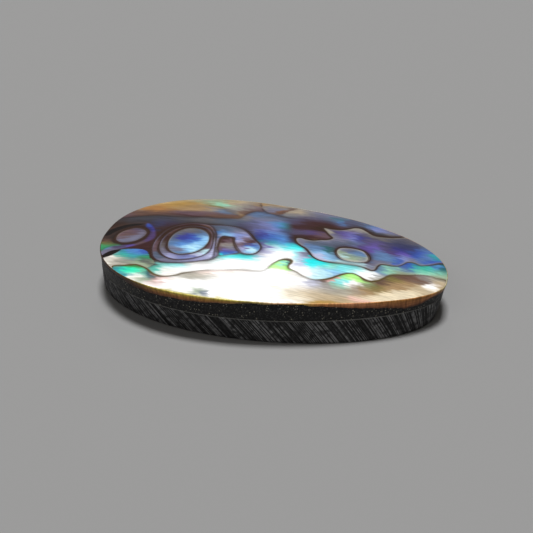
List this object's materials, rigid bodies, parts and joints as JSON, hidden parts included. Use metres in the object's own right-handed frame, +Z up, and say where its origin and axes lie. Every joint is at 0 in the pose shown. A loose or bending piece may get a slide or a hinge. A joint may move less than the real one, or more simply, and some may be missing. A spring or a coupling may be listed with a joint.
{
  "type": "abalone shell cabochon",
  "caption": "Flat-backed oval cabochon with a low-domed, polished abalone shell face bedded in black resin on a dark backing slab.",
  "frame": {"origin": "middle of the flat back, at the centre of the outline's box", "axes": "+X along the length, towards the narrow end; +Y across the width; +Z up out of the polished face"},
  "size_m": [0.04, 0.0225, 0.0062],
  "materials": {
    "abalone_shell": "natural abalone nacre, polished: blue, violet, teal, green and cream swirls between dark brown growth lines, under a clear gloss",
    "black_resin": "black filled resin, ground flat, satin, with fine pale specks",
    "black_backing": "dark grey to black backing, ground, with slanting grinding streaks on its side wall"
  },
  "bodies": {
    "root": {"shell_slice": "abalone_shell", "resin_bed": "black_resin", "backing_slab": "black_backing"}
  },
  "joints": []
}
